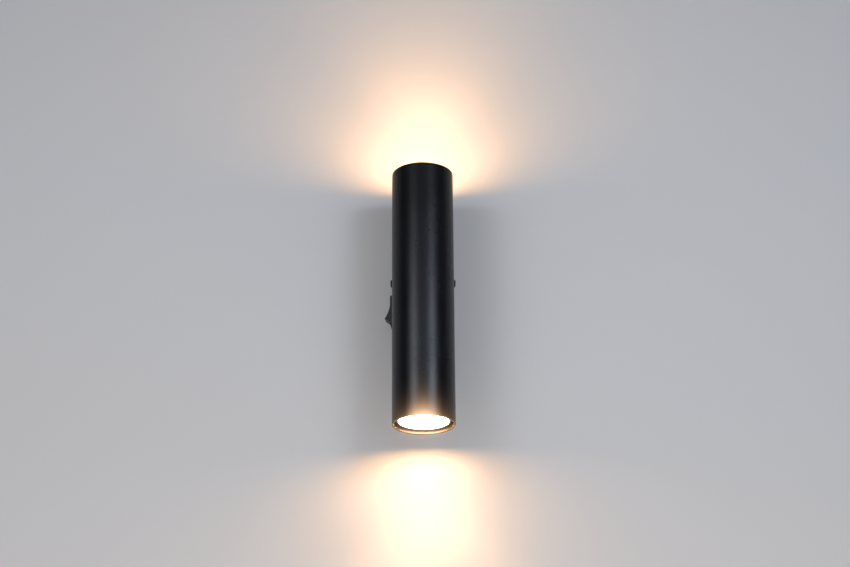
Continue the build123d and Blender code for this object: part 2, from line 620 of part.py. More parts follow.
def terminal_block():
    block = Pos(*BLOCK_MIDDLE, BLOCK_BACK) * Box(
        POLE_COUNT * POLE_PITCH, BLOCK_LENGTH, BLOCK_HEIGHT, align=UP_FROM
    )
    block = fillet(block.edges().group_by(Axis.Z)[0], BLOCK_ROUND)
    screw_hole = Cylinder(BLOCK_SCREW_DIAMETER / 2 + FIT_CLEARANCE, BLOCK_HEIGHT, align=UP_FROM)
    head_sink = Cylinder(BLOCK_SCREW_DIAMETER, BLOCK_SCREW_SINK, align=UP_FROM)
    block -= Pos(*BLOCK_MIDDLE, BLOCK_BACK) * (screw_hole + head_sink)
    block = FROM_WALL * block
    clamp_hole = Rot(Y=90) * Cylinder(CLAMP_RADIUS, BLOCK_LENGTH)
    mouth_depth = (BLOCK_LENGTH - CLAMP_LENGTH) / 2
    for pole in range(POLE_COUNT):
        hollow = clamp_hole
        for end in (-1, 1):
            middle = end * (CLAMP_LENGTH + mouth_depth) / 2
            hollow += Pos(middle, 0, 0) * Rot(Y=90) * Cylinder(FUNNEL_RADIUS, mouth_depth)
            well = Cylinder(WELL_RADIUS, BLOCK_HEIGHT - CLAMP_AXIS, align=UP_FROM)
            hollow += Pos(end * CLAMP_SCREW_SPACING / 2, 0, 0) * well
        block -= at_pole(pole) * hollow
    return block


def terminal_clamps():
    clamp = Rot(Y=90) * (
        Cylinder(CLAMP_RADIUS, CLAMP_LENGTH) - Cylinder(CLAMP_BORE_RADIUS, CLAMP_LENGTH)
    )
    for end in (-1, 1):
        tapped = Cylinder(CLAMP_SCREW_RADIUS, CLAMP_RADIUS + 1, align=UP_FROM)
        clamp -= Pos(end * CLAMP_SCREW_SPACING / 2, 0, 0) * tapped
    return [at_pole(pole) * clamp for pole in range(POLE_COUNT)]


def terminal_screws():
    """Slotted clamp screws in their wells."""
    foot = CLAMP_BORE_RADIUS / 2
    length = BLOCK_HEIGHT - CLAMP_AXIS - foot - WELL_DEPTH / 4
    screw = Cylinder(CLAMP_SCREW_RADIUS - THREAD_CLEARANCE, length, align=UP_FROM)
    slot = Pos(0, 0, length) * Box(2 * CLAMP_SCREW_RADIUS, CLAMP_SCREW_RADIUS / 3, CLAMP_SCREW_RADIUS)
    screw = Pos(0, 0, foot) * (screw - slot)
    return [
        at_pole(pole) * Pos(end * CLAMP_SCREW_SPACING / 2, 0, 0) * screw
        for pole in range(POLE_COUNT)
        for end in (-1, 1)
    ]


def block_screw():
    length = BLOCK_HEIGHT - BLOCK_SCREW_SINK + BOX_SHEET
    screw = pan_screw(
        BLOCK_SCREW_DIAMETER, 2 * BLOCK_SCREW_DIAMETER - 2 * FIT_CLEARANCE, BLOCK_SCREW_SINK, length
    )
    return FROM_WALL * Pos(*BLOCK_MIDDLE, BLOCK_BACK + BLOCK_SCREW_SINK) * Rot(X=180) * screw


def earth_screw():
    screw = pan_screw(M4_DIAMETER, M4_HEAD_DIAMETER, M4_HEAD_HEIGHT, EARTH_SCREW_LENGTH)
    seat = BOX_FLOOR - EARTH_TAG_THICKNESS
    return FROM_WALL * Pos(*EARTH_POINT, seat) * Rot(X=180) * screw


def earth_tag():
    """A ring tag whose crimp barrel points up."""
    tag = Cylinder(EARTH_TAG_RADIUS, EARTH_TAG_THICKNESS, align=DOWN_FROM)
    tongue = Box(
        2 * BARREL_RADIUS,
        EARTH_TAG_REACH,
        EARTH_TAG_THICKNESS,
        align=(Align.CENTER, Align.MIN, Align.MAX),
    )
    barrel = Rot(X=-90) * Cylinder(BARREL_RADIUS, BARREL_LENGTH, align=DOWN_FROM)
    tag += tongue + Pos(0, EARTH_TAG_REACH, -BARREL_RADIUS) * barrel
    tag -= Cylinder(M4_DIAMETER / 2 + FIT_CLEARANCE, 2 * EARTH_TAG_THICKNESS)
    return FROM_WALL * Pos(*EARTH_POINT, BOX_FLOOR) * tag


# ---------------------------------------------------------------- leads
EARTH_POLE, NEUTRAL_POLE, SWITCHED_POLE, LIVE_POLE = range(POLE_COUNT)


def lead(points):
    """An insulated lead along straight runs, with each corner as round as its runs allow."""
    points = [Vector(*point) for point in points]
    radii = []
    for before, corner, after in zip(points, points[1:], points[2:]):
        first_run = corner - before
        second_run = after - corner
        half_turn = math.radians(first_run.get_angle(second_run)) / 2
        shorter = min(first_run.length, second_run.length)
        radii.append(0.45 * shorter / math.tan(half_turn))
    print("lead radii", [round(radius, 1) for radius in radii])
    path = FilletPolyline(*points, radius=radii)
    section = Plane(origin=path @ 0, z_dir=path % 0) * Circle(LEAD_RADIUS)
    return sweep(section, path=path)


def pole_mouth(pole, row):
    """Where a lead ends in the upper mouth of a pole. Leads of one pole lie in a row."""
    mouth = BLOCK_MIDDLE[1] + CLAMP_LENGTH / 2 + LEAD_END_GAP
    return (pole_x(pole), -POLE_DISTANCE + row * LEAD_ROW, mouth)


def barrel_mouth(s):
    """Where a lead leaves the barrel of a switch receptacle, and a point straight on from it."""
    end = HOUSING_FOOT - RECEPTACLE_GAP - RECEPTACLE_LENGTH - BARREL_LENGTH
    mouth = (SWITCH_FRAME * Pos(s, 0, end)).position
    beyond = (SWITCH_FRAME * Pos(s, 0, end - 3.5 * LEAD_DIAMETER)).position
    return [tuple(mouth), tuple(beyond)]


def in_box(x, off_floor, z):
    """A point inside the box, at a distance from the inner face of its front."""
    return (x, off_floor - BOX_FLOOR, z)


def switch_live_lead():
    route = [in_box(17.5, 8.7, -0.5), in_box(21.5, 4.9, -10.5)]
    return lead(barrel_mouth(0) + route + [pole_mouth(LIVE_POLE, 0)])


def switch_return_lead():
    route = [in_box(10.0, 9.1, -8.6), in_box(12.5, 7.3, -16.0)]
    return lead(barrel_mouth(-BLADE_SPACING) + route + [pole_mouth(SWITCHED_POLE, 1)])


def earth_lead():
    tag_x, tag_z = EARTH_POINT
    route = [
        in_box(pole_x(EARTH_POLE), CLAMP_AXIS, -13.0),
        in_box(tag_x, BARREL_RADIUS, -12.4),
        in_box(tag_x, BARREL_RADIUS, tag_z + EARTH_TAG_REACH),
    ]
    return lead([pole_mouth(EARTH_POLE, 0)] + route)


def lamp_leads(end):
    """A live and a neutral lead, from the block through the bush to the holder of one lamp."""
    up = 1 if end == "upper" else -1
    off_floor = 6.4 if end == "upper" else 4.5          # where they turn into the bush
    routes = {
        SWITCHED_POLE: (1, 0 if end == "upper" else -1, 11.0),
        NEUTRAL_POLE: (-1, 0.5 if end == "upper" else -0.5, 3.2),
    }
    leads = []
    for pole, (side, row, middle_x) in routes.items():
        x = side * LEAD_STAGGER
        z = up * LEAD_STAGGER
        holder_x = side * PIN_SPACING / 2
        route = [
            pole_mouth(pole, row),
            in_box(middle_x, off_floor - 0.4, -12.5),
            in_box(x, off_floor, z),
            (x, 15.0 - TUBE_OFFSET, z),
            (2 * x, 14.0 - TUBE_OFFSET, up * (SHELF_HEIGHT - 29.0)),
            (holder_x, -TUBE_OFFSET, up * (SHELF_HEIGHT - 11.0)),
            (holder_x, -TUBE_OFFSET, up * (HOLDER_BASE_TOP - CONTACT_POCKET_DEPTH - LEAD_END_GAP)),
        ]
        leads.append(lead(route))
    return leads


# ---------------------------------------------------------------- lamp holders
def holder_bracket(end):
    """A leg against the tube's back and a round shelf for the holder, from one sheet."""
    back = TUBE_OFFSET - LEG_FACE
    front = back - HOLDER_BRACKET_SHEET
    under = SHELF_HEIGHT - HOLDER_BRACKET_SHEET
    leg_end = FIXING_HEIGHT - LEG_TAIL
    outline = Polygon(
        (0, under),
        (front, under),
        (front, leg_end),
        (back, leg_end),
        (back, SHELF_HEIGHT),
        (0, SHELF_HEIGHT),
        align=None,
    )
    bend = outline.vertices().sort_by_distance((front, under))[0]
    outline = fillet(bend, HOLDER_BRACKET_BEND)
    bend = outline.vertices().sort_by_distance((back, SHELF_HEIGHT))[0]
    outline = fillet(bend, HOLDER_BRACKET_BEND + HOLDER_BRACKET_SHEET)
    bracket = extrude(Plane.YZ * outline, HOLDER_BRACKET_WIDTH / 2, both=True)
    bracket += Pos(0, 0, under) * Cylinder(SHELF_RADIUS, HOLDER_BRACKET_SHEET, align=UP_FROM)
    bracket -= Pos(0, 0, under) * Cylinder(SHELF_HOLE_RADIUS, HOLDER_BRACKET_SHEET, align=UP_FROM)
    fixing_hole = Cylinder(M4_CLEARANCE_HOLE / 2, 4 * HOLDER_BRACKET_SHEET)
    bracket -= Pos(0, back, FIXING_HEIGHT) * Rot(X=90) * fixing_hole
    for y in (-HOLDER_SCREW_SPACING / 2, HOLDER_SCREW_SPACING / 2):
        bracket -= Pos(0, y, under) * Cylinder(M3_DIAMETER / 2, 4 * HOLDER_BRACKET_SHEET)
    return ENDS[end] * bracket


def holder_screw_holes(height):
    hole = Cylinder(M3_CLEARANCE_HOLE / 2, height, align=UP_FROM)
    return Part() + [
        Pos(0, y, 0) * hole for y in (-HOLDER_SCREW_SPACING / 2, HOLDER_SCREW_SPACING / 2)
    ]


def holder_base(end):
    base = Cylinder(HOLDER_RADIUS, HOLDER_BASE_HEIGHT, align=UP_FROM)
    base = chamfer(base.edges().group_by(Axis.Z)[0], HOLDER_EDGE)
    base -= holder_screw_holes(HOLDER_BASE_HEIGHT)
    base -= Pos(0, 0, HOLDER_BASE_HEIGHT) * Box(
        CAVITY_LENGTH, CONTACT_STRIP_WIDTH + 4 * CONTACT_STRIP, CONTACT_POCKET_DEPTH, align=DOWN_FROM
    )
    for x in (-PIN_SPACING / 2, PIN_SPACING / 2):
        base -= Pos(x, 0, 0) * Cylinder(LEAD_HOLE_RADIUS, HOLDER_BASE_HEIGHT, align=UP_FROM)
    return ENDS[end] * Pos(0, 0, SHELF_HEIGHT) * base


def twist_lock():
    """The keyhole slots: a round entry for each pin's head and an arc for its neck."""
    neck = PIN_NECK_RADIUS + KEYHOLE_CLEARANCE
    head = PIN_HEAD_RADIUS + KEYHOLE_CLEARANCE
    arc = CenterArc((0, 0), PIN_SPACING / 2, 0, LOCK_ANGLE)
    keyhole = SlotArc(arc, 2 * neck) + Pos(*(arc @ 1)) * Circle(head)
    return keyhole + Rot(Z=180) * keyhole


def holder_cap(end):
    """The face of the holder, with the twist lock, over the cavity of the pins' heads."""
    cap = Cylinder(HOLDER_RADIUS, HOLDER_CAP_HEIGHT, align=UP_FROM)
    cap = fillet(cap.edges().group_by(Axis.Z)[-1], HOLDER_EDGE)
    cap -= Box(CAVITY_LENGTH, CAVITY_WIDTH, HOLDER_CAP_HEIGHT - HOLDER_CAP_TOP, align=UP_FROM)
    cap -= extrude(twist_lock(), HOLDER_CAP_HEIGHT)
    cap -= holder_screw_holes(HOLDER_CAP_HEIGHT)
    for y in (-HOLDER_SCREW_SPACING / 2, HOLDER_SCREW_SPACING / 2):
        cap -= Pos(0, y, HOLDER_CAP_HEIGHT) * Cylinder(
            M3_HEAD_DIAMETER / 2 + FIT_CLEARANCE, HOLDER_SCREW_SINK, align=DOWN_FROM
        )
    return ENDS[end] * Pos(0, 0, HOLDER_BASE_TOP) * cap


def holder_contacts(end):
    """Two spring strips that stand beside the heads of the pins."""
    foot = HOLDER_BASE_TOP - CONTACT_POCKET_DEPTH
    height = HOLDER_TOP - HOLDER_CAP_TOP - KEYHOLE_CLEARANCE - foot
    corner = (Align.MIN, Align.CENTER, Align.MIN)
    strip = Pos(CONTACT_RADIUS_FROM_AXIS, 0, foot) * Box(
        CONTACT_STRIP, CONTACT_STRIP_WIDTH, height, align=corner
    )
    foot_length = CONTACT_RADIUS_FROM_AXIS + CONTACT_STRIP - PIN_SPACING / 2 + LEAD_RADIUS
    strip += Pos(PIN_SPACING / 2 - LEAD_RADIUS, 0, foot) * Box(
        foot_length, CONTACT_STRIP_WIDTH, CONTACT_STRIP, align=corner
    )
    return [ENDS[end] * strip, ENDS[end] * Rot(Z=180) * strip]


def holder_screws(end):
    seat = HOLDER_TOP - HOLDER_SCREW_SINK
    length = round(seat - SHELF_HEIGHT + HOLDER_BRACKET_SHEET)
    screw = pan_screw(M3_DIAMETER, M3_HEAD_DIAMETER, M3_HEAD_HEIGHT, length + 1)
    return [
        ENDS[end] * Pos(0, y, seat) * screw
        for y in (-HOLDER_SCREW_SPACING / 2, HOLDER_SCREW_SPACING / 2)
    ]


# ---------------------------------------------------------------- lamps
def revolved(end, outline):
    return ENDS[end] * revolve(Plane.XZ * make_face(outline), Axis.Z)


def lamp_body(end):
    """The reflector-shaped shell: rim, swelling cone and neck, with seats for lens and board."""
    rim = LAMP_DIAMETER / 2
    rim_foot = LAMP_FACE - LAMP_RIM_HEIGHT
    neck = LAMP_FOOT + LAMP_NECK_HEIGHT
    neck_bore = LAMP_NECK_RADIUS - LAMP_SHELL
    lens_seat = LAMP_FACE - LENS_THICKNESS
    board_seat = LAMP_FACE - BOARD_DEPTH - BOARD_THICKNESS
    swell = ((rim + LAMP_NECK_RADIUS) / 2 + LAMP_SHELL, (rim_foot + neck) / 2)
    outside = Line((rim, LAMP_FACE), (rim, rim_foot)) + ThreePointArc(
        (rim, rim_foot), swell, (LAMP_NECK_RADIUS, neck)
    )
    inside = Polyline(
        (LAMP_NECK_RADIUS, neck),
        (neck_bore, neck),
        (neck_bore, neck + LAMP_PLUG),
        (BOARD_RADIUS - LAMP_SHELL, board_seat),
        (BOARD_RADIUS + FIT_CLEARANCE, board_seat),
        (BOARD_RADIUS + FIT_CLEARANCE, board_seat + 2 * BOARD_THICKNESS),
        (LENS_RADIUS - LAMP_SHELL, rim_foot),
        (LENS_RADIUS - LAMP_SHELL, lens_seat),
        (LENS_RADIUS + FIT_CLEARANCE / 2, lens_seat),
        (LENS_RADIUS + FIT_CLEARANCE / 2, LAMP_FACE),
        (rim, LAMP_FACE),
    )
    return revolved(end, outside + inside)


def lamp_lens(end):
    """A clear disc with the collimator cone behind it."""
    back = LAMP_FACE - LENS_THICKNESS
    cone_foot = LAMP_FACE - BOARD_DEPTH + EMITTER_THICKNESS + CONTACT_GAP
    outline = Polyline(
        (0, LAMP_FACE),
        (LENS_RADIUS, LAMP_FACE),
        (LENS_RADIUS, back),
        (LENS_RADIUS - 2 * LAMP_SHELL, back),
        (LENS_CONE_FOOT_RADIUS, cone_foot),
        (EMITTER_RADIUS, cone_foot),
        (EMITTER_RADIUS, cone_foot + LENS_THICKNESS),
        (0, cone_foot + LENS_THICKNESS),
        close=True,
    )
    return revolved(end, outline)


def led_board(end):
    """A round board with one large emitter."""
    top = LAMP_FACE - BOARD_DEPTH
    outline = Polyline(
        (0, top - BOARD_THICKNESS),
        (BOARD_RADIUS, top - BOARD_THICKNESS),
        (BOARD_RADIUS, top),
        (EMITTER_RADIUS, top),
        (EMITTER_RADIUS, top + EMITTER_THICKNESS),
        (0, top + EMITTER_THICKNESS),
        close=True,
    )
    return revolved(end, outline)


def driver_board(end):
    """The lamp's driver: a board on edge with a choke and a capacitor, seated on the base."""
    foot = LAMP_FOOT + LAMP_NECK_HEIGHT + LAMP_PLUG
    height = LAMP_FACE - BOARD_DEPTH - BOARD_THICKNESS - foot - LEAD_DIAMETER
    board = Box(DRIVER_WIDTH, DRIVER_THICKNESS, height, align=UP_FROM)
    capacitor = Pos(0, DRIVER_THICKNESS / 2 + CAPACITOR_RADIUS, height / 3) * Cylinder(
        CAPACITOR_RADIUS, height / 2, align=UP_FROM
    )
    web = Pos(0, DRIVER_THICKNESS / 2, height / 3) * Box(
        CAPACITOR_RADIUS, CAPACITOR_RADIUS, height / 2, align=(Align.CENTER, Align.MIN, Align.MIN)
    )
    choke = Pos(0, -DRIVER_THICKNESS / 2, height / 4) * Box(
        CHOKE_WIDTH, CHOKE_DEPTH, height / 2, align=(Align.CENTER, Align.MAX, Align.MIN)
    )
    return ENDS[end] * Pos(0, 0, foot) * (board + capacitor + web + choke)


def lamp_base(end):
    """The insulating foot that closes the shell and holds the pins."""
    plug_radius = LAMP_NECK_RADIUS - LAMP_SHELL - FIT_CLEARANCE
    base = Cylinder(LAMP_NECK_RADIUS, LAMP_NECK_HEIGHT, align=UP_FROM)
    base = chamfer(base.edges().group_by(Axis.Z)[0], HOLDER_EDGE)
    base += Cylinder(plug_radius, LAMP_NECK_HEIGHT + LAMP_PLUG, align=UP_FROM)
    for x in (-PIN_SPACING / 2, PIN_SPACING / 2):
        base -= Pos(x, 0, 0) * Cylinder(PIN_NECK_RADIUS + THREAD_CLEARANCE, PIN_ROOT, align=UP_FROM)
    return ENDS[end] * Pos(0, 0, LAMP_FOOT) * base


def lamp_pins(end):
    outline = Polyline(
        (0, LAMP_FOOT + PIN_ROOT),
        (PIN_NECK_RADIUS, LAMP_FOOT + PIN_ROOT),
        (PIN_NECK_RADIUS, LAMP_FOOT - PIN_LENGTH + PIN_HEAD_LENGTH),
        (PIN_HEAD_RADIUS, LAMP_FOOT - PIN_LENGTH + PIN_HEAD_LENGTH),
        (PIN_HEAD_RADIUS, LAMP_FOOT - PIN_LENGTH + PIN_NECK_RADIUS / 3),
        (PIN_HEAD_RADIUS - PIN_NECK_RADIUS / 3, LAMP_FOOT - PIN_LENGTH),
        (0, LAMP_FOOT - PIN_LENGTH),
        close=True,
    )
    pin = revolve(Plane.XZ * make_face(outline), Axis.Z)
    return [ENDS[end] * Pos(x, 0, 0) * pin for x in (-PIN_SPACING / 2, PIN_SPACING / 2)]


# ---------------------------------------------------------------- all pieces
SINGLE_PIECES = (
    outer_tube,
    back_box,
    saddle_washers,
    bush_spacer,
    cable_bush,
    tube_fixing_screws,
    tube_fixing_nuts,
    side_screws,
    wall_bracket,
    cable_grommet,
    switch_housing,
    rocker,
    rocker_plunger,
    rocker_spring,
    contact_lever,
    switch_terminals,
    switch_receptacles,
    switch_live_lead,
    switch_return_lead,
    terminal_block,
    terminal_clamps,
    terminal_screws,
    block_screw,
    earth_screw,
    earth_tag,
    earth_lead,
)
PIECES_AT_EACH_END = (
    lamp_leads,
    holder_bracket,
    holder_base,
    holder_cap,
    holder_contacts,
    holder_screws,
    lamp_body,
    lamp_lens,
    led_board,
    driver_board,
    lamp_base,
    lamp_pins,
)


def write(node, made):
    """Separate pieces of one kind share a file."""
    shape = Compound(children=list(made)) if isinstance(made, list) else made
    export_step(shape, f"parts/{node}.step")


os.makedirs("parts", exist_ok=True)
for piece in SINGLE_PIECES:
    write(piece.__name__, piece())
for end_name in ENDS:
    for piece in PIECES_AT_EACH_END:
        write(f"{end_name}_{piece.__name__}", piece(end_name))
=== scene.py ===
# %% [markdown]
# # A tube wall light that shines up and down
# The light is a black tube on a shallow box, with a lamp in each end, a rocker switch on the left
# and a screw on each side. Its rigid pieces come from a CAD model that is loaded here as a fixed
# frame, in metres, with the wall at y = 0, the room towards -Y and Z up. The lesson gives them
# their finishes, adds the small things that a CAD model leaves out, and lights the whole scene.

import json
import math

import bmesh
import bpy
from mathutils import Matrix, Vector


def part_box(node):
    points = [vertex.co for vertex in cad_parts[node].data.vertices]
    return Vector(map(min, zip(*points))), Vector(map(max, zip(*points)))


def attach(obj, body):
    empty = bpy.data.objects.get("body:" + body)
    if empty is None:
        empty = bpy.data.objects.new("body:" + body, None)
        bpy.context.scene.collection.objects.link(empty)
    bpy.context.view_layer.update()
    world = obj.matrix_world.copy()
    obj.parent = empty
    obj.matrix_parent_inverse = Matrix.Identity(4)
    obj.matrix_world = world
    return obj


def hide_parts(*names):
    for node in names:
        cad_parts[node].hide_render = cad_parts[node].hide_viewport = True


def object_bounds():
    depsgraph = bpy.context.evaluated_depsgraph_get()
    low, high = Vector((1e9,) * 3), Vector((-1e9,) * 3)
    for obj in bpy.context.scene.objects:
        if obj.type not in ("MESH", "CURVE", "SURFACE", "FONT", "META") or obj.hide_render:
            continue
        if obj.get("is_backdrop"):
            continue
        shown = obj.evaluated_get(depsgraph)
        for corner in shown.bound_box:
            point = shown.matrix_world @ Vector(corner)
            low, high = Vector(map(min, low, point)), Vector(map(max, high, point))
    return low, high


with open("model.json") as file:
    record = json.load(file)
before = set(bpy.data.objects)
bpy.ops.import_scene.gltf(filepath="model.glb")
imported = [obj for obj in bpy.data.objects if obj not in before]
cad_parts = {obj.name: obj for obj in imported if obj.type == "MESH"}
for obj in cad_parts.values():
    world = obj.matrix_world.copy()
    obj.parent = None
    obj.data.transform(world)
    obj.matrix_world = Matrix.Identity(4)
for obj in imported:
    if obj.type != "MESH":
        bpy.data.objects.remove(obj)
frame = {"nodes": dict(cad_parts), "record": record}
cad_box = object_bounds()
MM = 0.001
TUBE_AXIS_Y = -60 * MM
TUBE_LOW, TUBE_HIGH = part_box("outer_tube")
print(len(frame["nodes"]), "pieces, tube from", TUBE_LOW[:], "to", TUBE_HIGH[:])

# %% [markdown]
# ## Camera
# The photograph looks up at the light from well below it, with a long lens. A camera could be
# aimed by a constraint, but then its small roll would be lost. Three turns in a row say exactly
# what a photographer does: roll the camera, tilt it up, and swing it round the vertical.

# %% Camera
IMAGE_WIDTH = 850
FOCAL_PIXELS = 1910
CAMERA_PLACE = Vector((0, -1.7625, -0.7013))
TILT, SWING, ROLL = (math.radians(angle) for angle in (22.785, -0.065, -0.347))

camera_data = bpy.data.cameras.new("camera")
camera_data.sensor_width = 36
camera_data.lens = FOCAL_PIXELS * camera_data.sensor_width / IMAGE_WIDTH
camera_data.clip_end = 50
camera = bpy.data.objects.new("camera", camera_data)
camera.matrix_world = (
    Matrix.Translation(CAMERA_PLACE)
    @ Matrix.Rotation(SWING, 4, "Z")
    @ Matrix.Rotation(math.radians(90) + TILT, 4, "X")
    @ Matrix.Rotation(ROLL, 4, "Z")
)
bpy.context.scene.collection.objects.link(camera)
bpy.context.scene.camera = camera
print("lens", round(camera_data.lens, 1), "mm")

# %% [markdown]
# ## Helpers for finishes
# Every finish is a Principled BSDF with a few nodes before it. Effects that several finishes
# share are node groups with named inputs. A group could hold the whole shader, but a group that
# only puts out heights and masks can be reused by a paint, a plastic and a metal.

# %% Helpers for nodes
def add_node(tree, kind, values=None, **settings):
    """A new node with its settings and its input values."""
    node = tree.nodes.new(kind)
    for name, value in settings.items():
        setattr(node, name, value)
    for name, value in (values or {}).items():
        node.inputs[name].default_value = value
    return node


def new_group(name, inputs, outputs):
    """A shader group with float sockets, and its two end nodes."""
    group = bpy.data.node_groups.new(name, "ShaderNodeTree")
    for label, value in inputs.items():
        socket = group.interface.new_socket(label, in_out="INPUT", socket_type="NodeSocketFloat")
        socket.default_value = value
    for label in outputs:
        group.interface.new_socket(label, in_out="OUTPUT", socket_type="NodeSocketFloat")
    return group, group.nodes.new("NodeGroupInput"), group.nodes.new("NodeGroupOutput")


def new_finish(name, **values):
    """A material, its node tree and its Principled BSDF, with values set on the shader."""
    material = bpy.data.materials.new(name)
    material.use_nodes = True
    shader = material.node_tree.nodes["Principled BSDF"]
    for label, value in values.items():
        shader.inputs[label.replace("_", " ").title().replace("Ior", "IOR")].default_value = value
    return material, material.node_tree, shader


# %% [markdown]
# ## Wall and floor
# The light hangs on a plain painted wall. One plane is enough for it, half a millimetre behind
# the bracket so that the two don't flicker. From behind it has to be see-through, because the
# back of the light is looked at as well, so its material turns transparent on the back face. The
# floor is lit by nothing, so a little light of its own keeps it pale wherever the camera sees it.
# A satin tube mirrors a bright wall strongly along both its edges, more than the photograph shows,
# so the wall is darker for mirrored rays. It also throws no shadow, so that the lights behind it
# reach the back of the light.

# %% Plaster
MIRROR_LOSS = 0.4


def plaster(name, colour):
    """Matt paint with a faint roller texture, see-through from its back and for shadow rays."""
    material, tree, shader = new_finish(name, base_color=(*colour, 1), roughness=0.75)
    place = add_node(tree, "ShaderNodeTexCoord")
    roller = add_node(tree, "ShaderNodeTexNoise", {"Scale": 420.0, "Detail": 3.0})
    tree.links.new(place.outputs["Object"], roller.inputs["Vector"])
    bump = add_node(tree, "ShaderNodeBump", {"Strength": 0.12, "Distance": 0.2 * MM})
    tree.links.new(roller.outputs["Fac"], bump.inputs["Height"])
    tree.links.new(bump.outputs["Normal"], shader.inputs["Normal"])
    side = add_node(tree, "ShaderNodeNewGeometry")
    ray = add_node(tree, "ShaderNodeLightPath")
    unseen = add_node(tree, "ShaderNodeMath", operation="MAXIMUM")
    tree.links.new(side.outputs["Backfacing"], unseen.inputs[0])
    tree.links.new(ray.outputs["Is Shadow Ray"], unseen.inputs[1])
    loss = add_node(tree, "ShaderNodeMath", {1: MIRROR_LOSS}, operation="MULTIPLY")
    tree.links.new(ray.outputs["Is Glossy Ray"], loss.inputs[0])
    dark = add_node(tree, "ShaderNodeBsdfDiffuse", {"Color": (0, 0, 0, 1)})
    clear = add_node(tree, "ShaderNodeBsdfTransparent")
    surface = shader
    for share, other in ((loss, dark), (unseen, clear)):
        mix = add_node(tree, "ShaderNodeMixShader")
        tree.links.new(share.outputs["Value"], mix.inputs["Fac"])
        tree.links.new(surface.outputs[0], mix.inputs[1])
        tree.links.new(other.outputs["BSDF"], mix.inputs[2])
        surface = mix
    tree.links.new(surface.outputs["Shader"], tree.nodes["Material Output"].inputs["Surface"])
    return material, tree, shader, ray


# %% Wall and floor
STAGE_SIZE = 9
WALL_GAP = 0.5 * MM
WALL_MIDDLE = 2.9
FLOOR_HEIGHT = -1.55


def stage_plane(name, angle, place, material):
    """A square plane of the stage, which isn't part of the light, turned about X."""
    shape = bmesh.new()
    bmesh.ops.create_grid(shape, x_segments=1, y_segments=1, size=STAGE_SIZE / 2)
    turn = Matrix.Rotation(math.radians(angle), 4, "X")
    shape.transform(Matrix.Translation(place) @ turn)
    mesh = bpy.data.meshes.new(name)
    shape.to_mesh(mesh)
    shape.free()
    mesh.materials.append(material)
    plane = bpy.data.objects.new(name, mesh)
    bpy.context.scene.collection.objects.link(plane)
    plane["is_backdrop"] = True
    print(name, "in place at", place[:])


wall_paint = plaster("wall_paint", (0.765, 0.755, 0.752))[0]
stage_plane("wall", 90, Vector((0, WALL_GAP, WALL_MIDDLE)), wall_paint)
floor_paint, tree, shader, ray = plaster("floor_paint", (0.70, 0.70, 0.70))
shader.inputs["Emission Color"].default_value = (0.52, 0.53, 0.55, 1)
tree.links.new(ray.outputs["Is Camera Ray"], shader.inputs["Emission Strength"])
stage_plane("floor", 0, Vector((0, 0, FLOOR_HEIGHT)), floor_paint)

# %% [markdown]
# ## Studio light
# Two soft boxes stand left and right of the camera. On a black tube their reflections are what
# shows: two broad upright streaks with a dark valley between them, where the tube mirrors the
# dark room. The camera looks up, so it sees the boxes' upper edges in the tube, and the streaks
# fade towards the top. A sun or one big box would light the wall as well, but would give one
# streak or none. Each streak is brightest in its middle, so each box has a narrow hot middle, and
# it goes on faintly above and below, so each has two weak boxes there. One more box in front
# fills the valley a little, and two behind the wall light the back for whoever looks there.

# %% Soft boxes
def soft_box(name, bearing, distance, heights, width, radiance, colour):
    """An upright area light that faces the tube's axis, between two heights.

    Bearing is in degrees, 0 in front of the tube, and radiance is its brightness.
    """
    light = bpy.data.lights.new(name, "AREA")
    light.shape = "RECTANGLE"
    light.size, light.size_y = width, heights[1] - heights[0]
    light.energy = radiance * math.pi * light.size * light.size_y
    light.color = colour
    turn = math.radians(bearing)
    place = Vector((distance * math.sin(turn), -distance * math.cos(turn), sum(heights) / 2))
    box = bpy.data.objects.new(name, light)
    aim = Vector((-place.x, -place.y, 0))
    box.matrix_world = Matrix.Translation(place) @ aim.to_track_quat("-Z", "Y").to_matrix().to_4x4()
    box.visible_camera = False
    bpy.context.scene.collection.objects.link(box)


WARMER, COOLER = (0.95, 0.98, 1.05), (0.89, 0.98, 1.12)
for side, bearing, hot, colour in (("left", -32, 5.8, WARMER), ("right", 30, 7.8, COOLER)):
    for part, distance, heights, width, radiance in (
        ("soft_box", 1.15, (0.17, 0.38), 0.76, 1.9),
        ("hot_middle", 1.13, (0.14, 0.345), 0.32, hot),
        ("upper_glow", 1.15, (0.39, 0.55), 0.72, 0.56),
        ("lower_glow", 1.15, (-1.00, 0.05), 0.76, 0.66),
    ):
        soft_box(f"{side}_{part}", bearing, distance, heights, width, radiance, colour)
soft_box("front_glow", 0, 1.2, heights=(0.10, 0.48), width=0.40, radiance=1.1, colour=COOLER)
for side, bearing in (("left", -157), ("right", 157)):
    soft_box(f"{side}_back_box", bearing, 2.4, (-0.2, 1.2), 1.2, 2.2, WARMER)
print("soft boxes:", [light.name for light in bpy.data.lights])

# %% [markdown]
# ## Bounce from below
# Under the light the beam of the lower lamp falls on something and comes back up, warm and soft,
# so the wall brightens towards the bottom of the picture. The thing itself isn't in the picture.
# A wide area light below the frame, facing up, does the same.

# %% Bounce
BOUNCE_PLACE = Vector((0, -0.42, -0.85))
bounce_light = bpy.data.lights.new("bounce", "AREA")
bounce_light.shape = "RECTANGLE"
bounce_light.size, bounce_light.size_y = 1.8, 0.6
bounce_light.energy = 5.2
bounce_light.color = (1.0, 0.88, 0.76)
bounce = bpy.data.objects.new("bounce", bounce_light)
bounce.matrix_world = Matrix.Translation(BOUNCE_PLACE) @ Matrix.Rotation(math.pi, 4, "X")
bounce.visible_camera = bounce.visible_glossy = False
bpy.context.scene.collection.objects.link(bounce)
print("bounce at", BOUNCE_PLACE[:])

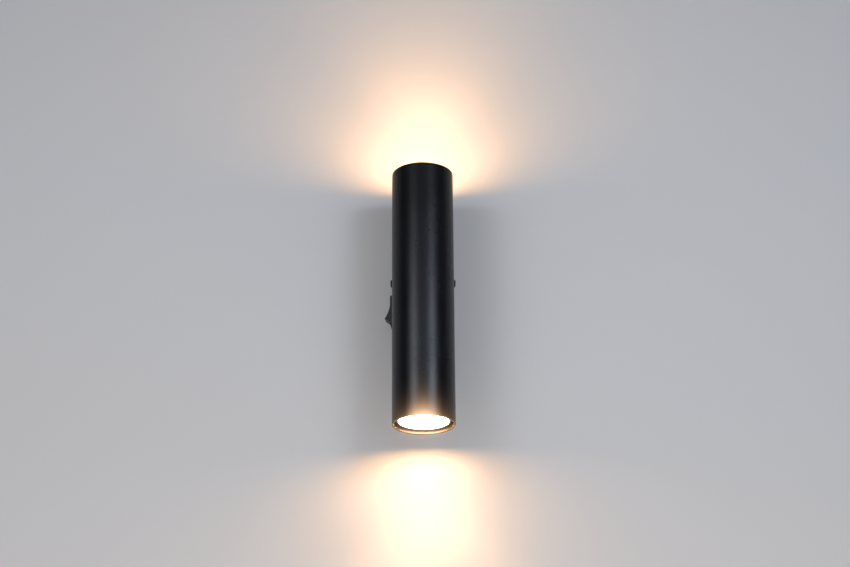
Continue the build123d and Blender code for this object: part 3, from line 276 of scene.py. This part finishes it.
# %% [markdown]
# ## Pale room
# Seen from the side or from behind, there is nothing past the wall and the floor. A bright world
# would be a plain way to fill that, but it would also wash out the tube, which needs a dark room
# to mirror. A Light Path node gives each what it needs: a pale room for the camera and almost none
# for everything else.

# %% Room
ROOM_LIGHT, ROOM_SEEN = 0.04, 0.8
world = bpy.data.worlds.new("pale_room")
world.use_nodes = True
bpy.context.scene.world = world
room = world.node_tree
seen = add_node(room, "ShaderNodeLightPath")
room_light = add_node(room, "ShaderNodeMapRange", {"To Min": ROOM_LIGHT, "To Max": ROOM_SEEN})
room.links.new(seen.outputs["Is Camera Ray"], room_light.inputs["Value"])
room.links.new(room_light.outputs["Result"], room.nodes["Background"].inputs["Strength"])
room.nodes["Background"].inputs["Color"].default_value = (0.93, 0.95, 1.0, 1)
bpy.context.scene.view_settings.view_transform = "Standard"
print("room lit by", ROOM_LIGHT, "and seen at", ROOM_SEEN)

# %% [markdown]
# ## Light of the lamps
# Each lamp throws a warm fan of light on the wall, cut off by the rim of the tube. Only the
# glowing lens could do that, but a small bright surface is hard to sample and leaves specks. So
# matt surfaces don't see the lens, and two disc-shaped area lights of its size just in front of it
# light them cleanly: a wide spill, which the rim cuts off, and a narrower beam. Some of them lean
# a few degrees, as a lamp with a little play in its holder does.

# %% Lamp light
LAMP_COLOUR = (1.0, 0.54, 0.175)
LENS_RADIUS = 24 * MM
LENS_GAP = 0.2 * MM
SPILL_FAN = 176


def lamp_light(name, end, up, watts, fan, lean):
    """A disc of light in front of a lens. Up is 1 at the upper end and -1 at the lower.

    Fan is the whole angle of its light and lean turns it about the view axis, in degrees.
    """
    low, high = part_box(f"{end}_lamp_lens")
    face = high.z if up > 0 else low.z
    light = bpy.data.lights.new(name, "AREA")
    light.shape = "DISK"
    light.size = 2 * LENS_RADIUS
    light.color = LAMP_COLOUR
    light.energy = watts
    light.spread = math.radians(fan)
    disc = bpy.data.objects.new(name, light)
    turn = math.radians(180 if up > 0 else 0)
    disc.matrix_world = (
        Matrix.Translation((0, TUBE_AXIS_Y, face + up * LENS_GAP))
        @ Matrix.Rotation(math.radians(lean), 4, "Y")
        @ Matrix.Rotation(turn, 4, "X")
    )
    disc.visible_camera = disc.visible_glossy = False
    bpy.context.scene.collection.objects.link(disc)
    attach(disc, f"{end}_lamp")
    print(name, watts, "W over", fan, "degrees")


for end, up, watts, fan, lean in (
    ("upper", 1, (0.33, 0.11), 78, (0, 3)),
    ("lower", -1, (0.33, 0.22), 88, (-2, -5)),
):
    frame["nodes"][f"{end}_lamp_lens"].visible_diffuse = False
    lamp_light(f"{end}_spill", end, up, watts[0], SPILL_FAN, lean[0])
    lamp_light(f"{end}_beam", end, up, watts[1], fan, lean[1])

# %% [markdown]
# ## Flare
# The middle of the lit lens is far brighter than the film can hold. Some of its light strays in
# the camera's lens: a narrow bloom all round, and a warm smear upwards over the end of the tube.
# The compositor's Glare node makes both from the finished picture. The smear is one streak, which
# only starts from what is brighter than its threshold. Last, where red is over the top of the
# scale, the film loses colour as real film does: a little blue is added, so that the brightest
# part of the glow turns cream and not yellow.

# %% Flare
scene = bpy.context.scene
scene.use_nodes = True
film = scene.node_tree
for old in list(film.nodes):
    film.nodes.remove(old)
picture = add_node(film, "CompositorNodeRLayers")
UPWARDS = math.radians(-90)
smear = add_node(
    film,
    "CompositorNodeGlare",
    {
        "Threshold": 70.0,
        "Maximum": 120.0,
        "Strength": 0.11,
        "Streaks": 1,
        "Streaks Angle": UPWARDS,
        "Iterations": 3,
        "Fade": 0.88,
        "Color Modulation": 0.0,
    },
    glare_type="STREAKS",
    quality="HIGH",
)
bloom = add_node(
    film,
    "CompositorNodeGlare",
    {"Threshold": 2.0, "Smoothness": 0.3, "Strength": 0.02, "Size": 0.1},
    glare_type="BLOOM",
    quality="HIGH",
)
film.links.new(picture.outputs["Image"], smear.inputs["Image"])
film.links.new(smear.outputs["Image"], bloom.inputs["Image"])
print("smear and bloom added")

# %% Film
RED_FULL, RED_BURNT, MOST_BLUE = 0.85, 1.5, 0.085
channels = add_node(film, "CompositorNodeSeparateColor")
over_the_top = add_node(
    film,
    "CompositorNodeMapRange",
    {"From Min": RED_FULL, "From Max": RED_BURNT, "To Min": 0.0, "To Max": MOST_BLUE},
    use_clamp=True,
)
bluer = add_node(film, "CompositorNodeMath", operation="ADD")
whole = add_node(film, "CompositorNodeCombineColor")
developed = add_node(film, "CompositorNodeComposite")
film.links.new(bloom.outputs["Image"], channels.inputs["Image"])
film.links.new(channels.outputs["Red"], over_the_top.inputs["Value"])
film.links.new(channels.outputs["Blue"], bluer.inputs[0])
film.links.new(over_the_top.outputs["Value"], bluer.inputs[1])
film.links.new(channels.outputs["Red"], whole.inputs["Red"])
film.links.new(channels.outputs["Green"], whole.inputs["Green"])
film.links.new(bluer.outputs["Value"], whole.inputs["Blue"])
film.links.new(whole.outputs["Image"], developed.inputs["Image"])
print("film gains at most", MOST_BLUE, "of blue")

# %% [markdown]
# ## Surface groups
# Powder coat, moulded plastic, rubber and ceramic all have a fine random grain, and it differs
# only in size and depth. Rolled and plated metal has streaks along one direction. Both are groups
# that read Object coordinates, so that the grain has its real size in metres on every piece.

# %% Grain group
def grain_group():
    """Fine grain with a slow drift over it. Grain is its size in millimetres."""
    group, start, end = new_group("fine_grain", {"Grain": 1.0, "Drift": 30.0}, ["Height", "Tone"])
    place = add_node(group, "ShaderNodeTexCoord")
    for label, source, detail in (("Height", "Grain", 4.0), ("Tone", "Drift", 3.0)):
        per_metre = add_node(group, "ShaderNodeMath", {0: 1000.0}, operation="DIVIDE")
        noise = add_node(group, "ShaderNodeTexNoise", {"Detail": detail, "Roughness": 0.6})
        group.links.new(start.outputs[source], per_metre.inputs[1])
        group.links.new(per_metre.outputs["Value"], noise.inputs["Scale"])
        group.links.new(place.outputs["Object"], noise.inputs["Vector"])
        group.links.new(noise.outputs["Fac"], end.inputs[label])
    return group


# %% Streak group
def streak_group():
    """Streaks along one axis. Width is their spacing in millimetres, Stretch how long they run."""
    group, start, end = new_group("streaks", {"Width": 0.3, "Stretch": 30.0}, ["Height", "Tone"])
    place = add_node(group, "ShaderNodeTexCoord")
    squeeze = add_node(group, "ShaderNodeMath", {0: 1.0}, operation="DIVIDE")
    group.links.new(start.outputs["Stretch"], squeeze.inputs[1])
    scale = add_node(group, "ShaderNodeCombineXYZ", {"X": 1.0, "Y": 1.0})
    group.links.new(squeeze.outputs["Value"], scale.inputs["Z"])
    stretched = add_node(group, "ShaderNodeVectorMath", operation="MULTIPLY")
    group.links.new(place.outputs["Object"], stretched.inputs[0])
    group.links.new(scale.outputs["Vector"], stretched.inputs[1])
    per_metre = add_node(group, "ShaderNodeMath", {0: 1000.0}, operation="DIVIDE")
    group.links.new(start.outputs["Width"], per_metre.inputs[1])
    noise = add_node(group, "ShaderNodeTexNoise", {"Detail": 2.0})
    group.links.new(per_metre.outputs["Value"], noise.inputs["Scale"])
    group.links.new(stretched.outputs["Vector"], noise.inputs["Vector"])
    group.links.new(noise.outputs["Fac"], end.inputs["Height"])
    cloud = add_node(group, "ShaderNodeTexNoise", {"Scale": 60.0, "Detail": 4.0})
    group.links.new(place.outputs["Object"], cloud.inputs["Vector"])
    group.links.new(cloud.outputs["Fac"], end.inputs["Tone"])
    return group


FINE_GRAIN = grain_group()
STREAKS = streak_group()
print("groups:", [group.name for group in bpy.data.node_groups])

# %% Helpers that wear the groups
TONE_LOW, TONE_HIGH = 0.3, 0.7


def textured(finish, group, sizes, strength, height_mm, colours, gloss):
    """Wires a group into a finish: bump from Height, colour and roughness from Tone.

    Gloss is the roughness where the tone is low and where it is high.
    """
    material, tree, shader = finish
    surface = add_node(tree, "ShaderNodeGroup", node_tree=group)
    for label, value in sizes.items():
        surface.inputs[label].default_value = value
    bump = add_node(tree, "ShaderNodeBump", {"Strength": strength, "Distance": height_mm * MM})
    tree.links.new(surface.outputs["Height"], bump.inputs["Height"])
    tree.links.new(bump.outputs["Normal"], shader.inputs["Normal"])
    tint = add_node(tree, "ShaderNodeValToRGB")
    for stop, position, colour in zip(tint.color_ramp.elements, (TONE_LOW, TONE_HIGH), colours):
        stop.position, stop.color = position, (*colour, 1)
    tree.links.new(surface.outputs["Tone"], tint.inputs["Fac"])
    tree.links.new(tint.outputs["Color"], shader.inputs["Base Color"])
    shine = add_node(
        tree,
        "ShaderNodeMapRange",
        {"From Min": TONE_LOW, "From Max": TONE_HIGH, "To Min": gloss[0], "To Max": gloss[1]},
    )
    tree.links.new(surface.outputs["Tone"], shine.inputs["Value"])
    tree.links.new(shine.outputs["Result"], shader.inputs["Roughness"])
    return material


def shades(colour, spread):
    """Two close shades of a colour, a darker and a lighter one."""
    darker = tuple(channel * (1 - spread) for channel in colour)
    lighter = tuple(min(1, channel * (1 + spread)) for channel in colour)
    return darker, lighter


# %% [markdown]
# ## Powder coat
# Tube and box are powder coated: near black, satin, with the fine orange-peel grain of melted
# powder. Paint with a clear coat would be too glossy, and plain roughness would look like vinyl,
# so the grain is a real bump of about a tenth of a millimetre.

# %% Powder coat
COAT_BLACK = (0.0055, 0.0068, 0.0086)


def powder_coat(name):
    """Black powder coat as a finish, with its tree and shader."""
    finish = new_finish(name, ior=1.43)
    textured(
        finish,
        FINE_GRAIN,
        {"Grain": 1.1, "Drift": 40.0},
        strength=1.0,
        height_mm=0.14,
        colours=shades(COAT_BLACK, 0.1),
        gloss=(0.23, 0.29),
    )
    return finish


finishes = {"black_powder_coat": powder_coat("powder_coat_black")[0]}
print("made", finishes["black_powder_coat"].name)

# %% [markdown]
# ## Bright rims
# Powder draws back from the sharp rims of a tube, so the metal shines through the thin coat there.
# In the photograph the lower rim is a fine bright ring all round. A ring of its own would need a
# joint line, so the tube has its own coat with a mask instead: beyond a height on the tube's axis
# it is thin coat over metal.

# %% Rims
RIM_HEIGHT = TUBE_HIGH.z - 0.65 * MM
RIM_FADE = 0.3 * MM
tube_coat, tree, shader = powder_coat("powder_coat_with_bright_rims")
place = add_node(tree, "ShaderNodeTexCoord")
axes = add_node(tree, "ShaderNodeSeparateXYZ")
height = add_node(tree, "ShaderNodeMath", operation="ABSOLUTE")
rim = add_node(
    tree, "ShaderNodeMapRange", {"From Min": RIM_HEIGHT, "From Max": RIM_HEIGHT + RIM_FADE}
)
tree.links.new(place.outputs["Object"], axes.inputs["Vector"])
tree.links.new(axes.outputs["Z"], height.inputs[0])
tree.links.new(height.outputs["Value"], rim.inputs["Value"])
tree.links.new(rim.outputs["Result"], shader.inputs["Metallic"])
black = shader.inputs["Base Color"].links[0].from_socket
colour = add_node(tree, "ShaderNodeMix", data_type="RGBA")
colour.inputs["B"].default_value = (0.24, 0.22, 0.20, 1)
tree.links.new(rim.outputs["Result"], colour.inputs["Factor"])
tree.links.new(black, colour.inputs["A"])
tree.links.new(colour.outputs["Result"], shader.inputs["Base Color"])
print("rims start at", round(RIM_HEIGHT / MM, 2), "mm")

# %% [markdown]
# ## Moulded pieces
# Switch, bushes and terminal block are injection moulded. The mould gives plastic a much finer
# and shallower grain than powder, glossy on a rocker and matt on a housing. Rubber is duller and
# paler in patches, and the ceramic of the holders has a soft glaze.

# %% Plastics, rubber and ceramic
MOULDED = {  # colour, grain in millimetres, gloss
    "switch_black": ((0.008, 0.008, 0.008), 0.30, (0.34, 0.42)),
    "rocker_black": ((0.006, 0.006, 0.006), 0.22, (0.26, 0.34)),
    "black_nylon": ((0.022, 0.022, 0.023), 0.35, (0.42, 0.52)),
    "white_nylon": ((0.80, 0.79, 0.75), 0.35, (0.38, 0.48)),
    "black_rubber": ((0.020, 0.020, 0.020), 0.50, (0.62, 0.74)),
    "steatite": ((0.78, 0.75, 0.68), 0.60, (0.26, 0.40)),
    "lamp_white": ((0.84, 0.83, 0.79), 0.40, (0.22, 0.30)),
    "board_white": ((0.82, 0.82, 0.78), 0.30, (0.24, 0.30)),
    "board_green": ((0.02, 0.12, 0.045), 0.40, (0.22, 0.32)),
    "brown_lead": ((0.16, 0.065, 0.03), 0.50, (0.34, 0.42)),
    "grey_lead": ((0.55, 0.55, 0.53), 0.50, (0.34, 0.42)),
}
for name, (colour, grain, gloss) in MOULDED.items():
    finishes[name] = textured(
        new_finish(name, ior=1.5),
        FINE_GRAIN,
        {"Grain": grain, "Drift": 12.0},
        strength=0.35,
        height_mm=0.01,
        colours=shades(colour, 0.07),
        gloss=gloss,
    )
print("moulded finishes:", len(MOULDED))

# %% [markdown]
# ## Metals
# The bracket and the holders' brackets are zinc plated sheet with rolling streaks, the screws
# are plated or blackened, and the contacts are bare brass that has begun to dull.

# %% Metals
METALS = {  # colour, width of the streaks in millimetres, gloss
    "zinc_plated_steel": ((0.60, 0.61, 0.60), 0.35, (0.30, 0.42)),
    "bright_screw": ((0.66, 0.66, 0.64), 0.15, (0.20, 0.30)),
    "black_zinc_screw": ((0.045, 0.045, 0.048), 0.15, (0.30, 0.40)),
    "spring_steel": ((0.55, 0.55, 0.54), 0.10, (0.22, 0.30)),
    "brass": ((0.70, 0.50, 0.22), 0.20, (0.22, 0.36)),
}
for name, (colour, width, gloss) in METALS.items():
    finishes[name] = textured(
        new_finish(name, metallic=1.0),
        STREAKS,
        {"Width": width, "Stretch": 25.0},
        strength=0.3,
        height_mm=0.004,
        colours=shades(colour, 0.12),
        gloss=gloss,
    )
print("metal finishes:", len(METALS))

# %% [markdown]
# ## Green and yellow lead
# The earth lead's insulation is green with a yellow stripe. The stripe could be painted by a UV
# map along the lead, but at this size bands that run across it at a slant are enough.

# %% Earth lead
material, tree, shader = new_finish("earth_lead", roughness=0.38)
place = add_node(tree, "ShaderNodeTexCoord")
stripes = add_node(tree, "ShaderNodeTexWave", {"Scale": 330.0}, bands_direction="DIAGONAL")
stripe_colour = add_node(tree, "ShaderNodeValToRGB")
stripe_colour.color_ramp.interpolation = "CONSTANT"
green, yellow = stripe_colour.color_ramp.elements
green.color = (0.03, 0.22, 0.04, 1)
yellow.position, yellow.color = 0.62, (0.75, 0.62, 0.03, 1)
tree.links.new(place.outputs["Object"], stripes.inputs["Vector"])
tree.links.new(stripes.outputs["Fac"], stripe_colour.inputs["Fac"])
tree.links.new(stripe_colour.outputs["Color"], shader.inputs["Base Color"])
finishes["earth_lead"] = material
print("made", material.name)

# %% [markdown]
# ## Lit lens
# The lens is clear plastic over a lamp that is on, and from below it is far brighter than
# everything round it, most of all in its middle, in front of the chips. Real glass would need the
# light to find its way through it, so the lens glows by itself. A ramp over the distance from the
# lamp's axis keeps the hot middle and lets the edge fall off.

# %% Lit lens
LENS_LIGHT = 150
GLOW = (  # share of the lens's radius, colour
    (0.10, (1.0, 0.58, 0.30)),
    (0.80, (0.42, 0.245, 0.125)),
    (0.92, (0.40, 0.235, 0.12)),
    (0.99, (0.015, 0.009, 0.005)),
)
material, tree, shader = new_finish("lit_lens", base_color=(0.9, 0.88, 0.84, 1), roughness=0.15)
place = add_node(tree, "ShaderNodeTexCoord")
from_axis = add_node(tree, "ShaderNodeVectorMath", {1: (0, TUBE_AXIS_Y, 0)}, operation="SUBTRACT")
flat = add_node(tree, "ShaderNodeVectorMath", {1: (1, 1, 0)}, operation="MULTIPLY")
radius = add_node(tree, "ShaderNodeVectorMath", operation="LENGTH")
share = add_node(tree, "ShaderNodeMath", {1: LENS_RADIUS}, operation="DIVIDE")
glow = add_node(tree, "ShaderNodeValToRGB")
stops = glow.color_ramp.elements
stops.remove(stops[1])
for index, (position, colour) in enumerate(GLOW):
    stop = stops.new(position) if index else stops[0]
    stop.position, stop.color = position, (*colour, 1)
tree.links.new(place.outputs["Object"], from_axis.inputs[0])
tree.links.new(from_axis.outputs["Vector"], flat.inputs[0])
tree.links.new(flat.outputs["Vector"], radius.inputs[0])
tree.links.new(radius.outputs["Value"], share.inputs[0])
tree.links.new(share.outputs["Value"], glow.inputs["Fac"])
tree.links.new(glow.outputs["Color"], shader.inputs["Emission Color"])
shader.inputs["Emission Strength"].default_value = LENS_LIGHT
finishes["lamp_lens"] = material
print("lens glows over", LENS_RADIUS / MM, "mm")

# %% [markdown]
# ## Finishes on the frame
# The record says which finish each CAD piece has. Each mesh could be painted by hand, but one loop
# over the record forgets none. Only the tube then gets its own coat, the one with bright rims.

# %% Paint the frame
slots = {part["node"]: part["material_slot"] for part in frame["record"]["subparts"]}
for node, slot in slots.items():
    mesh = frame["nodes"][node].data
    mesh.materials.clear()
    mesh.materials.append(finishes[slot])
frame["nodes"]["outer_tube"].data.materials[0] = tube_coat
print("painted", len(slots), "pieces")

# %% [markdown]
# ## Threads for the screws
# The CAD screws have their real heads with a cross recess, but a plain shank, because a thread is
# too fine for a solid that is also used for collision. A bump could fake the thread, but its
# outline would stay smooth. Here each screw keeps a copy of its head, cut off at its seat, and gets
# a new shank: a core turned from a profile, and a ridge that is the same spin with a step along
# the axis, so that it climbs by one pitch in each turn.

# %% Helpers for shapes
def shells(shape):
    """The vertices of each separate shell, always in the same order."""
    seen = set()
    for first in shape.verts:
        if first in seen:
            continue
        seen.add(first)
        shell = [first]
        for vertex in shell:
            for edge in vertex.link_edges:
                other = edge.other_vert(vertex)
                if other not in seen:
                    seen.add(other)
                    shell.append(other)
        yield shell


def load_merged(node):
    """A bmesh of a CAD node with its loose triangles joined."""
    shape = bmesh.new()
    shape.from_mesh(frame["nodes"][node].data)
    bmesh.ops.remove_doubles(shape, verts=shape.verts, dist=0.001 * MM)
    return shape


def profile(shape, points):
    """An open line of edges in the plane y = 0, from (x, z) points."""
    line = [shape.verts.new((x, 0, z)) for x, z in points]
    return line + [shape.edges.new(pair) for pair in zip(line, line[1:])]


def close_shape(shape):
    """Merges doubles, fills the holes that are left and turns the faces outwards."""
    bmesh.ops.remove_doubles(shape, verts=shape.verts, dist=0.002 * MM)
    bmesh.ops.holes_fill(shape, edges=[edge for edge in shape.edges if edge.is_boundary])
    bmesh.ops.recalc_face_normals(shape, faces=shape.faces)


# %% Helpers for new pieces
SMOOTH_BELOW = math.radians(32)


def new_piece(name, shape, body, slot, replaced):
    """A finished piece from a bmesh, shaded and painted, that stands for a node on its body."""
    for face in shape.faces:
        face.smooth = True
    for edge in shape.edges:
        edge.smooth = edge.calc_face_angle(0) < SMOOTH_BELOW
    mesh = bpy.data.meshes.new(name)
    shape.to_mesh(mesh)
    shape.free()
    mesh.materials.append(finishes[slot])
    piece = bpy.data.objects.new(name, mesh)
    bpy.context.scene.collection.objects.link(piece)
    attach(piece, body)
    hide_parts(replaced)
    print(name, len(mesh.polygons), "faces")


def join_in(shape, part, placed=Matrix.Identity(4)):
    """Adds a part to a shape at a place and frees it."""
    part.transform(placed)
    holder = bpy.data.meshes.new("holder")
    part.to_mesh(holder)
    part.free()
    shape.from_mesh(holder)
    bpy.data.meshes.remove(holder)


# %% Threaded shank
STEPS_PER_TURN = 20
THREAD_DEPTH = 0.61             # of its pitch
CREST_FLAT = (0.42, 0.58)       # from here to there along its pitch
CREST_PLAY = 0.05 * MM
SUNK = 0.1 * MM                 # of the shank, into the head
ROOTED = 0.02 * MM              # of the ridge, into the core


def threaded_shank(length, diameter, pitch):
    """A shank below z = 0 with its point at -length."""
    crest, root = diameter / 2 - CREST_PLAY, diameter / 2 - THREAD_DEPTH * pitch
    point = diameter / 8
    shank = bmesh.new()
    tip = [(0, -length), (root - point / 2, -length), (root, point - length)]
    core = profile(shank, [*tip, (root, SUNK), (0, SUNK)])
    bmesh.ops.spin(
        shank, geom=core, cent=(0, 0, 0), axis=(0, 0, 1), angle=2 * math.pi,
        steps=STEPS_PER_TURN, use_merge=True,
    )
    close_shape(shank)
    ridge = bmesh.new()
    start, inner = point / 2 - length, root - ROOTED
    flat = [(crest, start + share * pitch) for share in CREST_FLAT]
    half = profile(ridge, [(inner, start), *flat, (inner, start + pitch)])
    turns = math.floor((length - point / 2) / pitch - 1)
    bmesh.ops.spin(
        ridge, geom=half, cent=(0, 0, 0), axis=(0, 0, 1), dvec=(0, 0, pitch / STEPS_PER_TURN),
        angle=2 * math.pi * turns, steps=STEPS_PER_TURN * turns,
    )
    close_shape(ridge)
    join_in(shank, ridge)
    return shank


# %% Screw maker
NEIGHBOUR_DISTANCE = 8 * MM     # a shell further away is another screw of the same node


def screw_heads(node, outward, length):
    """For each screw of a node: its head as a bmesh, and the place of its seat."""
    whole = load_merged(node)
    middles = []
    for shell in shells(whole):
        sides = [[vertex.co[axis] for vertex in shell] for axis in range(3)]
        middles.append(Vector([(min(side) + max(side)) / 2 for side in sides]))
    whole.free()
    for middle in middles:
        out = outward(middle)
        head = load_merged(node)
        for shell in list(shells(head)):
            centre = sum((vertex.co for vertex in shell), Vector()) / len(shell)
            if (centre - middle).length > NEIGHBOUR_DISTANCE:
                bmesh.ops.delete(head, geom=shell, context="VERTS")
        tip = min(vertex.co.dot(out) for vertex in head.verts)
        seat = middle + out * (tip + length - middle.dot(out))
        everything = list(head.verts) + list(head.edges) + list(head.faces)
        bmesh.ops.bisect_plane(head, geom=everything, plane_co=seat, plane_no=out, clear_inner=True)
        close_shape(head)
        yield head, Matrix.Translation(seat) @ out.to_track_quat("Z", "X").to_matrix().to_4x4()


def threaded_screws(node, outward, length, diameter, pitch):
    """Replaces a node of screws by the same screws with threads."""
    screws = bmesh.new()
    for head, place in screw_heads(node, outward, length):
        join_in(screws, head)
        join_in(screws, threaded_shank(length, diameter, pitch), place)
    new_piece(f"{node}_threaded", screws, "wall_light", slots[node], node)


# %% Screws
SIDE_LEAN = math.radians(6.307)     # of the box's sides


def sideways(middle):
    """Out of the box's side, at right angles to it."""
    side = 1 if middle.x > 0 else -1
    return Vector((side * math.cos(SIDE_LEAN), math.sin(SIDE_LEAN), 0))


def to_wall(middle):
    """Straight to the wall."""
    return Vector((0, 1, 0))


def to_end(middle):
    """Along the tube, to its nearer end."""
    return Vector((0, 0, 1 if middle.z > 0 else -1))


SCREWS = (  # node, way out of the head, length, diameter and pitch in millimetres
    ("side_screws", sideways, 8, 4, 0.7),
    ("tube_fixing_screws", to_wall, 12, 4, 0.7),
    ("earth_screw", to_wall, 6, 4, 0.7),
    ("block_screw", to_wall, 10.4, 2.5, 0.45),
    ("upper_holder_screws", to_end, 16, 3, 0.5),
    ("lower_holder_screws", to_end, 16, 3, 0.5),
)
for node, outward, length, diameter, pitch in SCREWS:
    threaded_screws(node, outward, length * MM, diameter * MM, pitch * MM)

# %% [markdown]
# ## Measure and finish
# The light is measured again with its finishes and threads, beside the box of its CAD model.
# Finishes and threads must not make the light any bigger than its CAD model.

# %% Measure and finish
visual_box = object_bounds()
sizes = {
    "cad": [list(corner) for corner in cad_box],
    "visual": [list(corner) for corner in visual_box],
}
print("visual box:", sizes["visual"])
